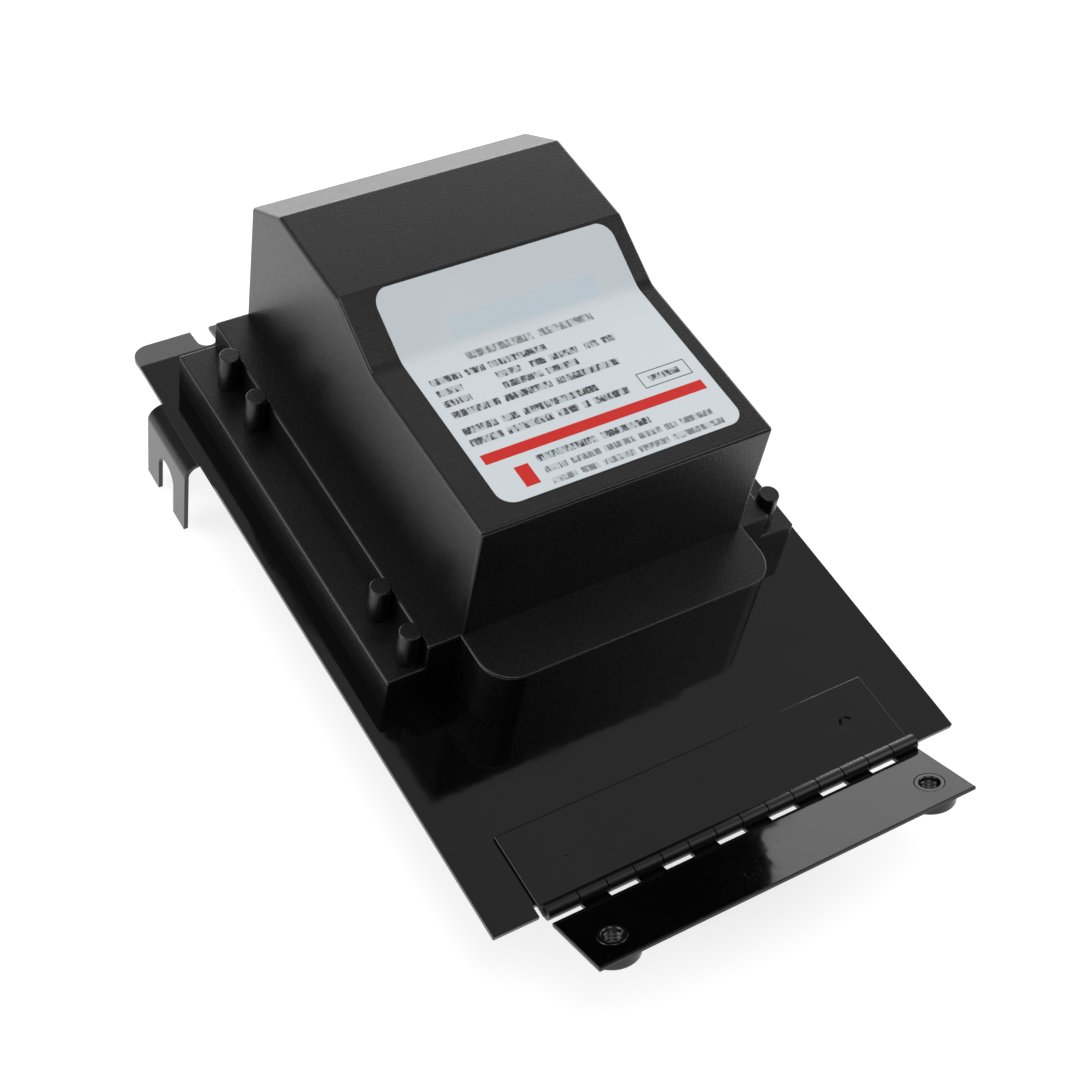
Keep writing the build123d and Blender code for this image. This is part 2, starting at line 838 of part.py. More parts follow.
def inner_pieces():
    """Everything sealed in the potting compound, by node name."""
    pieces = {
        "circuit_board": circuit_board(),
        "heat_sink": heat_sink(),
        "power_transistor": power_transistor(),
        "bulk_capacitor": bulk_capacitor(),
        "film_capacitor": film_capacitor(),
        "bridge_rectifier": bridge_rectifier(),
        "power_resistor": power_resistor(),
        "filter_choke": filter_choke(),
        "core_left": core_half(-1),
        "core_right": core_half(1),
        "primary_bobbin": bobbin(0, primary_y(), primary_length, primary_depth),
        "primary_coil": coil(0, primary_y(), primary_length, primary_depth),
        "ground_strap": ground_strap(),
    }
    for side, name in ((-1, "left"), (1, "right")):
        place = (secondary_x(side), secondary_y(), secondary_length, secondary_depth)
        pieces["secondary_bobbin_" + name] = bobbin(*place)
        pieces["secondary_coil_" + name] = coil(*place)
        pieces["insulator_" + name] = insulator(side)
        pieces["terminal_stud_" + name] = terminal_stud(side)
        pieces["hv_link_" + name] = hv_link(side)
    return pieces


def potting_compound(inner, pieces):
    """The resin round every inner piece; it doesn't enter the winding gaps."""
    block_of_resin = inner
    for piece in pieces.values():
        block_of_resin = block_of_resin - piece
    block_of_resin = block_of_resin - turned(bushing_profile(0), bushing_x, bushing_y)
    return block_of_resin.solids().sort_by(SortBy.VOLUME)[-1]


def all_pieces():
    inner = cavity()
    pieces = inner_pieces()
    pieces["potting_compound"] = potting_compound(inner, pieces)
    pieces["housing_case"] = housing_case(inner)
    pieces["base_plate"] = base_plate()
    pieces["hinge_fixed_leaf"] = hinge_fixed_leaf()
    pieces["hinge_moving_leaf"] = hinge_moving_leaf()
    pieces["hinge_pin"] = hinge_pin()
    pieces["rating_label"] = rating_label()
    pieces["case_screws"] = case_screws()
    pieces["lead_bushing"] = lead_bushing()
    for side, name in ((-1, "left"), (1, "right")):
        pieces["mount_nut_" + name] = mount_nut(side)
        pieces["terminal_nut_" + name] = terminal_nut(side)
        pieces["contact_spring_" + name] = contact_spring(side)
    return pieces


os.makedirs("parts", exist_ok=True)
for node, piece in all_pieces().items():
    export_step(solid(piece), "parts/" + node + ".step")
    print(node, round(solid(piece).volume, 1))
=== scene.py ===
import bpy
import json
import math
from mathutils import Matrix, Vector


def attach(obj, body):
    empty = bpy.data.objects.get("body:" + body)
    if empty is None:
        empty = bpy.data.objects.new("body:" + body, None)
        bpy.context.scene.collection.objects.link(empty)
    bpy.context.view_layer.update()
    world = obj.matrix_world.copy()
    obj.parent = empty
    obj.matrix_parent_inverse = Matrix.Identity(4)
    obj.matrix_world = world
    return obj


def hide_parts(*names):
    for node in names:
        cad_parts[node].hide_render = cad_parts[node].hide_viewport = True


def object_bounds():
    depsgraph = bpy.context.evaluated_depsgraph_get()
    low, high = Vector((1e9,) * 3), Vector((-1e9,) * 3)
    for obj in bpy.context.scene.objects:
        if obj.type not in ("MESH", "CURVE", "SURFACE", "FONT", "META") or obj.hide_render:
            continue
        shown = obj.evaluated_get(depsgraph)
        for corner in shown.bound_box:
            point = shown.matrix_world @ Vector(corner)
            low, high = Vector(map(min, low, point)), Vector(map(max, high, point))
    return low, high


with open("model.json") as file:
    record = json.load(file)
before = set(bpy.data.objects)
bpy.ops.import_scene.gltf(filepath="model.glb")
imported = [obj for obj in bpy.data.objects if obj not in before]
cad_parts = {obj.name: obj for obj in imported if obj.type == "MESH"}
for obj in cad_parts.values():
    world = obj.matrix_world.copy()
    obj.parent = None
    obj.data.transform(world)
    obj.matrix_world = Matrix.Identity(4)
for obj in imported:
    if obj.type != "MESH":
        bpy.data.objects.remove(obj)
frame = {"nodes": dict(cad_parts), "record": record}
cadBox = [list(corner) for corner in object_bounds()]
nodes = frame["nodes"]
mm = 0.001
print("frame loaded:", len(nodes), "nodes")


# Camera, lamps and floor. Angles in degrees, places and sizes in metres.

photoCamera = {
    "place": (-0.2771, -0.3321, 0.5059),
    "turn": (39.708, -8.169, -30.902),
    "lens": 67.656,            # millimetres, as the sensor's width
    "sensor": 36,
    "nearest": 0.01,
}

studio = {
    "cameraWhite": 1.0,        # what the camera sees behind the floor
    "mirrorWhite": 0.055,      # what glossy paint and metal mirror
    "ambient": 0.32,           # what reaches matt surfaces
    "floorColour": (0.50, 0.50, 0.50, 1),
    "floorRoughness": 0.9,
    "floorGlow": 0.68,         # near the piece, so that its shadow shows
    "farGlow": 1.0,            # where the lamps no longer reach
    "glowReach": (0.9, 1.9),   # from one glow to the other
    "floorSize": 9.0,
    "floorGap": 0.0002,        # under the lowest piece
}

softboxes = {
    # name: (place, point it faces, width and height, watts)
    "rearSoftbox": ((0.40, 1.30, 0.55), (0.0, 0.05, 0.05), (2.2, 0.62), 9.2),
    "lowSoftbox": ((0.35, 1.20, 0.10), (0.0, 0.05, 0.05), (2.0, 0.14), 7.5),
    "highSoftbox": ((0.60, 0.90, 1.30), (0.0, 0.0, 0.03), (1.6, 1.0), 2.35),
    "leftSoftbox": ((-1.25, 0.25, 0.50), (0.0, 0.0, 0.03), (1.1, 0.9), 10.0),
    "cornerSoftbox": ((-0.78, 0.86, 0.98), (0.0, 0.05, 0.0), (1.5, 1.5), 2.1),
    "horizonSoftbox": ((-1.25, 1.05, 0.16), (0.0, 0.1, 0.0), (1.4, 0.46), 1.2),
    "topSoftbox": ((-0.15, -0.10, 1.30), (0.0, 0.0, 0.05), (0.75, 0.75), 4.8),
    "rightSoftbox": ((0.78, -0.42, 0.86), (0.0, 0.0, 0.03), (0.62, 0.62), 3.0),
    "sideSoftbox": ((1.25, 0.42, 0.38), (0.05, -0.05, 0.0), (0.8, 0.5), 3.0),
}


def clearSelection():
    if bpy.context.object and bpy.context.object.mode != "OBJECT":
        bpy.ops.object.mode_set(mode="OBJECT")
    bpy.ops.object.select_all(action="DESELECT")


def pickOnly(piece):
    clearSelection()
    piece.select_set(True)
    bpy.context.view_layer.objects.active = piece


def applyPlace(location=True):
    bpy.ops.object.transform_apply(location=location, rotation=True, scale=True)


def placeCamera():
    turn = [math.radians(angle) for angle in photoCamera["turn"]]
    bpy.ops.object.camera_add(location=photoCamera["place"], rotation=turn)
    camera = bpy.context.object
    camera.name = "photoCamera"
    camera.data.lens = photoCamera["lens"]
    camera.data.sensor_width = photoCamera["sensor"]
    camera.data.clip_start = photoCamera["nearest"]
    bpy.context.scene.camera = camera


def placeLamps():
    for name, (place, aim, size, watts) in softboxes.items():
        bpy.ops.object.light_add(type="AREA", location=place)
        lamp = bpy.context.object
        lamp.name = name
        lamp.data.shape = "RECTANGLE"
        lamp.data.size, lamp.data.size_y = size
        lamp.data.energy = watts
        lamp.visible_camera = False
        toAim = Vector(aim) - Vector(place)
        lamp.rotation_euler = toAim.to_track_quat("-Z", "Y").to_euler()


def join(tree, fromSocket, toSocket):
    tree.links.new(fromSocket, toSocket)


# A Math node whose inputs are sockets or plain numbers.
def calculate(tree, operation, *values):
    step = tree.nodes.new("ShaderNodeMath")
    step.operation = operation
    for slot, value in enumerate(values):
        if hasattr(value, "is_output"):
            join(tree, value, step.inputs[slot])
        else:
            step.inputs[slot].default_value = value
    return step.outputs[0]


# The greatest of several sockets.
def greatest(tree, sockets):
    most = sockets[0]
    for socket in sockets[1:]:
        most = calculate(tree, "MAXIMUM", most, socket)
    return most


# Mix of two colours, sockets or plain ones, by a factor socket.
def blend(tree, factor, first, second):
    mix = tree.nodes.new("ShaderNodeMix")
    mix.data_type = "RGBA"
    join(tree, factor, mix.inputs[0])
    for slot, value in ((6, first), (7, second)):
        if hasattr(value, "is_output"):
            join(tree, value, mix.inputs[slot])
        else:
            mix.inputs[slot].default_value = value
    return mix.outputs[2]


# Stretches low to high onto toLow to toHigh and clamps.
def spread(tree, value, low, high, toLow=0.0, toHigh=1.0):
    step = tree.nodes.new("ShaderNodeMapRange")
    limits = {"From Min": low, "From Max": high, "To Min": toLow, "To Max": toHigh}
    for name, number in limits.items():
        step.inputs[name].default_value = number
    join(tree, value, step.inputs["Value"])
    return step.outputs["Result"]


def placeWorld():
    world = bpy.data.worlds.new("studioWorld")
    bpy.context.scene.world = world
    world.use_nodes = True
    tree = world.node_tree
    rays = tree.nodes.new("ShaderNodeLightPath")
    ambient = studio["ambient"]
    mirrored = greatest(tree, [rays.outputs["Is Glossy Ray"], rays.outputs["Is Transmission Ray"]])
    total = calculate(tree, "MULTIPLY_ADD", mirrored, studio["mirrorWhite"] - ambient, ambient)
    seen = rays.outputs["Is Camera Ray"]
    total = calculate(tree, "MULTIPLY_ADD", seen, studio["cameraWhite"] - ambient, total)
    background = tree.nodes["Background"]
    background.inputs["Color"].default_value = (1, 1, 1, 1)
    join(tree, total, background.inputs["Strength"])


def placeFloor():
    height = cadBox[0][2] - studio["floorGap"]
    bpy.ops.mesh.primitive_plane_add(size=studio["floorSize"], location=(0, 0, height))
    floor = bpy.context.object
    floor.name = "studioFloor"
    applyPlace()
    paper = bpy.data.materials.new("floorPaper")
    paper.use_nodes = True
    tree = paper.node_tree
    shader = tree.nodes["Principled BSDF"]
    shader.inputs["Base Color"].default_value = studio["floorColour"]
    shader.inputs["Roughness"].default_value = studio["floorRoughness"]
    shader.inputs["Specular IOR Level"].default_value = 0.0
    rays = tree.nodes.new("ShaderNodeLightPath").outputs
    seen = greatest(tree, [rays["Is Camera Ray"], rays["Is Glossy Ray"], rays["Is Transmission Ray"]])
    shader.inputs["Emission Color"].default_value = (1, 1, 1, 1)
    away = tree.nodes.new("ShaderNodeVectorMath")
    away.operation = "LENGTH"
    join(tree, tree.nodes.new("ShaderNodeTexCoord").outputs["Object"], away.inputs[0])
    near, far = studio["glowReach"]
    glow = spread(tree, away.outputs["Value"], near, far, studio["floorGlow"], studio["farGlow"])
    join(tree, calculate(tree, "MULTIPLY", seen, glow), shader.inputs["Emission Strength"])
    floor.data.materials.append(paper)


# Finishes. Every pattern is read at Object coordinates, and is given by its scale in turns per
# metre, its detail and, where it isn't 0.5, its roughness. A span is the part of a pattern that
# is stretched. A bump is its strength, then its depth in millimetres.

def startFinish(name):
    finish = bpy.data.materials.new(name)
    finish.use_nodes = True
    tree = finish.node_tree
    where = tree.nodes.new("ShaderNodeTexCoord").outputs["Object"]
    return finish, tree, tree.nodes["Principled BSDF"], where


def grain(tree, where, scale, detail, roughness=0.5):
    noise = tree.nodes.new("ShaderNodeTexNoise")
    noise.inputs["Scale"].default_value = scale
    noise.inputs["Detail"].default_value = detail
    noise.inputs["Roughness"].default_value = roughness
    join(tree, where, noise.inputs["Vector"])
    return noise.outputs["Fac"]


def split(tree, where):
    apart = tree.nodes.new("ShaderNodeSeparateXYZ")
    join(tree, where, apart.inputs[0])
    return apart.outputs


def addBump(tree, shader, height, strength, depth):
    bump = tree.nodes.new("ShaderNodeBump")
    bump.inputs["Strength"].default_value = strength
    bump.inputs["Distance"].default_value = depth * mm
    join(tree, height, bump.inputs["Height"])
    join(tree, bump.outputs["Normal"], shader.inputs["Normal"])


casePlastic = {
    "dark": (0.0009, 0.0009, 0.0010, 1),
    "pale": (0.0026, 0.0026, 0.0028, 1),
    "mottle": (42.0, 4),
    "mottleSpan": (0.35, 0.65),
    # painted glint: a lighter colour laid on the crests of the fine texture
    "paintedCrestGlint": (0.020, 0.019, 0.021, 1),
    "paintedGlintSpan": (0.60, 0.74),
    "texture": (1500.0, 3, 0.6),
    "textureSpan": (0.3, 0.7),
    "roughness": (0.35, 0.26),    # in the hollows, on the crests
    "specular": 0.50,
    "bump": (0.52, 0.16),
}


# Moulded black plastic with a fine spark-eroded texture; the lighter colour on the texture's crests is
# painted glint.
def makeCasePlastic():
    finish, tree, shader, where = startFinish("casePlastic")
    look = casePlastic
    mottle = spread(tree, grain(tree, where, *look["mottle"]), *look["mottleSpan"])
    fine = grain(tree, where, *look["texture"])
    colour = blend(tree, mottle, look["dark"], look["pale"])
    # Painted glints: the crests of the fine texture are lightened in the colour.
    colour = blend(tree, spread(tree, fine, *look["paintedGlintSpan"]), colour, look["paintedCrestGlint"])
    join(tree, colour, shader.inputs["Base Color"])
    rough = spread(tree, fine, *look["textureSpan"], *look["roughness"])
    join(tree, rough, shader.inputs["Roughness"])
    shader.inputs["Specular IOR Level"].default_value = look["specular"]
    addBump(tree, shader, fine, *look["bump"])
    return finish


blackPaint = {
    "colour": (0.0006, 0.0006, 0.0007, 1),
    "dusty": (0.0014, 0.0014, 0.0015, 1),
    "cloud": (23.0, 5, 0.6),
    "cloudSpan": (0.42, 0.70),
    "haze": (31.0, 4),
    "hazeSpan": (0.35, 0.70),
    "roughness": (0.055, 0.115),
    "barrelRough": 0.34,          # the rolled knuckles are satin
    "barrelEdge": (2.55, 2.75),   # the satin ends between these, in millimetres from the pin
    "peel": (210.0, 2, 0.45),     # orange peel
    "grit": (1900.0, 1),
    "gritSpan": (0.70, 0.76),
    "gritRough": 0.12,
    "gritHeight": 0.5,            # heights are against 1 for the orange peel
    "wave": (75.0, 2),            # slow waves of a sheet that isn't quite flat
    "weldHeight": -9.0,
    "weldFlat": 0.62,             # share of a weld mark's radius that is its floor
    "bump": (0.16, 0.10),
}


# Gloss black enamel over sheet steel, with orange peel and a little dust.
def makeBlackPaint(name, weldMarks=(), barrel=False, waves=0.0, least=0.0):
    finish, tree, shader, where = startFinish(name)
    look = blackPaint
    cloud = spread(tree, grain(tree, where, *look["cloud"]), *look["cloudSpan"])
    join(tree, blend(tree, cloud, look["colour"], look["dusty"]), shader.inputs["Base Color"])
    grit = spread(tree, grain(tree, where, *look["grit"]), *look["gritSpan"])
    rough = spread(tree, grain(tree, where, *look["haze"]), *look["hazeSpan"], *look["roughness"])
    rough = calculate(tree, "MULTIPLY_ADD", grit, look["gritRough"], rough)
    axes = split(tree, where)

    # Distance from a line, given as the places of two axes in millimetres.
    def reachFrom(firstAxis, firstPlace, secondAxis, secondPlace):
        one = calculate(tree, "SUBTRACT", axes[firstAxis], firstPlace * mm)
        other = calculate(tree, "SUBTRACT", axes[secondAxis], secondPlace * mm)
        otherSquared = calculate(tree, "MULTIPLY", other, other)
        return calculate(tree, "SQRT", calculate(tree, "MULTIPLY_ADD", one, one, otherSquared))

    if barrel:
        reach = reachFrom("Y", hinge["pinPlace"][1], "Z", hinge["pinPlace"][2])
        near, far = look["barrelEdge"]
        satin = spread(tree, reach, near * mm, far * mm, look["barrelRough"], 0.0)
        rough = calculate(tree, "MAXIMUM", rough, satin)
    join(tree, calculate(tree, "MAXIMUM", rough, least), shader.inputs["Roughness"])
    peel = grain(tree, where, *look["peel"])
    height = calculate(tree, "MULTIPLY_ADD", grit, look["gritHeight"], peel)
    if waves:
        height = calculate(tree, "MULTIPLY_ADD", grain(tree, where, *look["wave"]), waves, height)
    for x, y, radius in weldMarks:
        inner, outer = radius * look["weldFlat"] * mm, radius * mm
        dent = spread(tree, reachFrom("X", x, "Y", y), inner, outer, look["weldHeight"], 0.0)
        height = calculate(tree, "ADD", height, dent)
    addBump(tree, shader, height, *look["bump"])
    return finish


# The label's print is bars and plain fields in millimetres; x then y, each as (from, to).
labelPrint = {
    "film": (0.545, 0.590, 0.615, 1),
    "filmWarm": (0.570, 0.605, 0.630, 1),
    "ink": (0.030, 0.030, 0.034, 1),
    "greyInk": (0.16, 0.17, 0.175, 1),
    "redInk": (0.53, 0.017, 0.013, 1),
    "tint": (0.50, 0.585, 0.66, 1),
    "tintShare": 0.55,
    "softEdge": 0.12,
    "strokes": (1000.0, 1),
    "strokeStretch": 0.30,         # below 1, it draws the strokes out up their row
    "strokeSpan": (0.45, 0.56),
    "strokeShare": (0.96, 0.26),   # how dark the strokes are, and the gaps between them
    "wear": (1300.0, 1),
    "wearSpan": (0.36, 0.50),
    "wearShare": (0.70, 1.0),
    "warmth": (14.0, 2),
    "warmthSpan": (0.35, 0.65),
    "sheen": (60.0, 3),
    "sheenSpan": (0.3, 0.7),
    "roughness": (0.42, 0.54),
    "specular": 0.18,
    "ripple": (220.0, 3),
    "bump": (0.12, 0.05),
    "tintField": ((-20.5, 32.0), (25.0, 32.5)),
    "redFields": [((-37.0, 41.2), (-21.6, -17.7)), ((-30.2, -25.4), (-33.6, -25.6))],
    # rows: (middle, half height, words)
    "greyRows": [
        (18.9, 1.55, [(-20.5, 2.8), (5.0, 24.5)]),
        (-30.1, 1.15, [(-22.1, -14.5), (-13.0, -3.0), (-1.6, 9.0), (10.6, 18.5), (20.0, 24.2), (25.6, 37.0)]),
        (-34.6, 1.15, [(-22.1, -13.8), (-12.2, -6.2), (-4.6, 6.4), (8.0, 18.6), (20.0, 38.5)]),
    ],
    "inkRows": [
        (13.0, 1.30, [(-36.3, -25.8), (-24.2, -17.6), (-16.2, 4.0)]),
        (8.4, 1.30, [(-36.5, -27.8), (-16.1, -7.6), (-4.2, 1.0), (2.6, 12.6), (15.2, 20.0), (21.6, 26.3)]),
        (3.9, 1.30, [(-36.7, -27.4), (-16.2, -2.6), (-1.0, 10.1)]),
        (-0.9, 1.35, [(-36.6, -20.2), (-18.6, -2.2), (-0.6, 21.9)]),
        (-7.8, 1.35, [(-36.8, -25.2), (-23.6, -17.8), (-16.2, 9.8)]),
        (-12.5, 1.35, [(-37.0, -26.0), (-24.4, -8.6), (-7.0, 0.2), (1.8, 4.2), (5.8, 18.3)]),
        (-25.4, 1.30, [(-22.0, -1.4), (0.4, 17.6)]),
        (-11.2, 1.20, [(26.4, 37.4)]),
    ],
    "frame": ((23.4, 40.8), (-14.4, -8.0)),
    "frameLine": 0.32,
}


# Printed film: a pale field, rows of broken strokes for the print, and red fields.
def makeLabelFilm():
    finish, tree, shader, where = startFinish("labelFilm")
    look = labelPrint
    axes = split(tree, where)
    x = calculate(tree, "MULTIPLY", axes["X"], 1 / mm)
    y = calculate(tree, "MULTIPLY", axes["Y"], 1 / mm)

    def within(value, span):
        half = (span[1] - span[0]) / 2
        away = calculate(tree, "ABSOLUTE", calculate(tree, "SUBTRACT", value, (span[0] + span[1]) / 2))
        return spread(tree, away, half - look["softEdge"] / 2, half + look["softEdge"] / 2, 1.0, 0.0)

    def field(spanX, spanY):
        return calculate(tree, "MULTIPLY", within(x, spanX), within(y, spanY))

    def rows(listed):
        found = []
        for middle, half, words in listed:
            along = greatest(tree, [within(x, word) for word in words])
            found.append(calculate(tree, "MULTIPLY", along, within(y, (middle - half, middle + half))))
        return greatest(tree, found)

    stretch = tree.nodes.new("ShaderNodeMapping")
    stretch.inputs["Scale"].default_value = (1.0, look["strokeStretch"], 1.0)
    join(tree, where, stretch.inputs["Vector"])
    strokes = grain(tree, stretch.outputs["Vector"], *look["strokes"])
    strokes = spread(tree, strokes, *look["strokeSpan"], *look["strokeShare"])
    wear = spread(tree, grain(tree, where, *look["wear"]), *look["wearSpan"], *look["wearShare"])
    strokes = calculate(tree, "MULTIPLY", strokes, wear)

    warmth = spread(tree, grain(tree, where, *look["warmth"]), *look["warmthSpan"])
    colour = blend(tree, warmth, look["film"], look["filmWarm"])
    tint = calculate(tree, "MULTIPLY", field(*look["tintField"]), look["tintShare"])
    colour = blend(tree, tint, colour, look["tint"])
    for lines, ink in (("greyRows", "greyInk"), ("inkRows", "ink")):
        marks = calculate(tree, "MULTIPLY", rows(look[lines]), strokes)
        colour = blend(tree, marks, colour, look[ink])
    line = look["frameLine"]
    inner = [(low + line, high - line) for low, high in look["frame"]]
    outline = calculate(tree, "SUBTRACT", field(*look["frame"]), field(*inner))
    colour = blend(tree, outline, colour, look["ink"])
    for spans in look["redFields"]:
        colour = blend(tree, field(*spans), colour, look["redInk"])
    join(tree, colour, shader.inputs["Base Color"])
    rough = spread(tree, grain(tree, where, *look["sheen"]), *look["sheenSpan"], *look["roughness"])
    join(tree, rough, shader.inputs["Roughness"])
    shader.inputs["Specular IOR Level"].default_value = look["specular"]
    addBump(tree, shader, grain(tree, where, *look["ripple"]), *look["bump"])
    return finish


zincPlate = {
    "bright": (0.62, 0.63, 0.64, 1),
    "dull": (0.36, 0.365, 0.37, 1),
    "blotch": (320.0, 4, 0.6),
    "blotchSpan": (0.35, 0.68),
    "roughness": (0.44, 0.30),
    "texture": (1500.0, 3),
    "bump": (0.15, 0.05),
}


# Satin zinc plate, a little blotched.
def makeZincPlate():
    finish, tree, shader, where = startFinish("zincPlate")
    look = zincPlate
    blotch = spread(tree, grain(tree, where, *look["blotch"]), *look["blotchSpan"])
    join(tree, blend(tree, blotch, look["dull"], look["bright"]), shader.inputs["Base Color"])
    join(tree, spread(tree, blotch, 0, 1, *look["roughness"]), shader.inputs["Roughness"])
    shader.inputs["Metallic"].default_value = 1.0
    addBump(tree, shader, grain(tree, where, *look["texture"]), *look["bump"])
    return finish


winding = {
    # painted shade: the wire's colour darkened in the grooves between turns
    "groove": (0.20, 0.055, 0.018, 1),
    "crown": (0.50, 0.19, 0.075, 1),
    "turns": 900.0,
    "wander": 0.4,
    "metallic": 0.7,
    "roughness": 0.32,
    "bump": (0.6, 0.10),
}


# Enamelled wire wound round a leg that runs along X, one turn after another, with painted shade darkening the
# grooves between turns.
def makeWinding():
    finish, tree, shader, where = startFinish("winding")
    turns = tree.nodes.new("ShaderNodeTexWave")
    turns.bands_direction = "X"
    turns.inputs["Scale"].default_value = winding["turns"]
    turns.inputs["Distortion"].default_value = winding["wander"]
    join(tree, where, turns.inputs["Vector"])
    # Painted shade: the colour darkens toward the grooves between the turns.
    colour = blend(tree, turns.outputs["Fac"], winding["groove"], winding["crown"])
    join(tree, colour, shader.inputs["Base Color"])
    shader.inputs["Metallic"].default_value = winding["metallic"]
    shader.inputs["Roughness"].default_value = winding["roughness"]
    addBump(tree, shader, turns.outputs["Fac"], *winding["bump"])
    return finish


plainFinishes = {
    # name: (first colour, second colour, pattern scale, roughness from, to, metallic, bump strength)
    "resin": ((0.020, 0.019, 0.018, 1), (0.035, 0.033, 0.031, 1), 90, 0.16, 0.30, 0.0, 0.10),
    "board": ((0.018, 0.105, 0.045, 1), (0.028, 0.140, 0.060, 1), 260, 0.28, 0.40, 0.0, 0.10),
    "can_aluminium": ((0.62, 0.63, 0.65, 1), (0.76, 0.77, 0.79, 1), 420, 0.24, 0.40, 1.0, 0.12),
    "film_case": ((0.42, 0.085, 0.050, 1), (0.55, 0.120, 0.070, 1), 180, 0.22, 0.34, 0.0, 0.15),
    "component_black": ((0.022, 0.022, 0.023, 1), (0.036, 0.036, 0.037, 1), 900, 0.45, 0.60, 0.0, 0.25),
    "resistor_body": ((0.52, 0.50, 0.43, 1), (0.64, 0.62, 0.54, 1), 500, 0.55, 0.72, 0.0, 0.30),
    "ferrite": ((0.055, 0.055, 0.058, 1), (0.095, 0.095, 0.100, 1), 700, 0.40, 0.58, 0.0, 0.30),
    "bobbin_nylon": ((0.66, 0.65, 0.58, 1), (0.74, 0.73, 0.67, 1), 120, 0.38, 0.50, 0.0, 0.08),
    "insulator_moulding": ((0.060, 0.026, 0.014, 1), (0.098, 0.046, 0.026, 1), 75, 0.16, 0.27, 0.0, 0.06),
    "brass": ((0.58, 0.40, 0.17, 1), (0.74, 0.55, 0.27, 1), 300, 0.24, 0.40, 1.0, 0.12),
    "spring_strip": ((0.55, 0.36, 0.19, 1), (0.68, 0.47, 0.27, 1), 240, 0.22, 0.36, 1.0, 0.10),
    "bushing_nylon": ((0.020, 0.020, 0.021, 1), (0.032, 0.032, 0.033, 1), 320, 0.38, 0.52, 0.0, 0.15),
}

plainCloud = {
    "detail": (4, 0.6),
    "span": (0.34, 0.66),
    "finer": 4,              # scale of the bump's pattern against the colour's
    "finerDetail": 3,
    "depth": 0.08,           # millimetres
}


# A plain finish whose two colours drift into each other.
def makePlainFinish(name):
    first, second, scale, smooth, rough, metallic, bump = plainFinishes[name]
    finish, tree, shader, where = startFinish(name)
    cloud = spread(tree, grain(tree, where, scale, *plainCloud["detail"]), *plainCloud["span"])
    join(tree, blend(tree, cloud, first, second), shader.inputs["Base Color"])
    join(tree, spread(tree, cloud, 0, 1, smooth, rough), shader.inputs["Roughness"])
    shader.inputs["Metallic"].default_value = metallic
    fine = grain(tree, where, scale * plainCloud["finer"], plainCloud["finerDetail"])
    addBump(tree, shader, fine, bump, plainCloud["depth"])
    return finish


# Gives every carried-over node its finish.
def dressNodes():
    made = {name: makePlainFinish(name) for name in plainFinishes}
    made["winding"] = makeWinding()
    made["case_plastic"] = makeCasePlastic()
    made["black_paint"] = makeBlackPaint("blackPaint")
    made["zinc_plate"] = makeZincPlate()
    made["label_film"] = makeLabelFilm()
    slots = {part["node"]: part["material_slot"] for part in frame["record"]["subparts"]}
    leaves = {
        "hinge_fixed_leaf": makeBlackPaint("blackPaintFixedLeaf", hinge["weldMarks"], barrel=True),
        "hinge_moving_leaf": makeBlackPaint("blackPaintMovingLeaf", barrel=True, waves=hinge["leafWaves"]),
    }
    for name, node in nodes.items():
        node.data.materials.clear()
        node.data.materials.append(leaves.get(name) or made[slots[name]])
    return made


# Tools for the turned pieces, which are made upright in millimetres and seated at the end.

# Turns a (radius, height) profile: each point is a ring extruded from the last. A piece with a
# bore comes back to its first ring, and a solid one is capped at both ends.
def turnProfile(name, profile, segments, solid=False):
    clearSelection()
    radius, height = profile[0]
    bpy.ops.mesh.primitive_circle_add(
        vertices=segments, radius=radius, location=(0, 0, height),
        fill_type="NGON" if solid else "NOTHING",
    )
    piece = bpy.context.object
    piece.name = name
    applyPlace()
    bpy.ops.object.mode_set(mode="EDIT")
    bpy.ops.mesh.select_all(action="SELECT")
    for nextRadius, nextHeight in profile[1:] + ([] if solid else profile[:1]):
        bpy.ops.mesh.extrude_region_move(TRANSFORM_OT_translate={"value": (0, 0, nextHeight - height)})
        share = nextRadius / radius
        bpy.ops.transform.resize(value=(share, share, 1), center_override=(0, 0, nextHeight))
        radius, height = nextRadius, nextHeight
    bpy.ops.mesh.select_all(action="SELECT")
    bpy.ops.mesh.remove_doubles(threshold=1e-6)
    bpy.ops.mesh.normals_make_consistent(inside=False)
    bpy.ops.object.mode_set(mode="OBJECT")
    return piece


# Points of a quarter round from the bottom face to the side.
def roundedCorner(radius, bottom, edge, steps):
    points = []
    for step in range(steps + 1):
        angle = math.radians(90 * step / steps)
        points.append((radius - edge + edge * math.sin(angle), bottom + edge - edge * math.cos(angle)))
    return points


threadRidge = {
    "radius": 0.5,           # of the three-sided section, in pitches
    "reach": 0.8,            # from its middle to its point, in thread depths
    "narrow": 0.92,          # so that one turn clears the next
    "steps": 48,             # round one turn
}


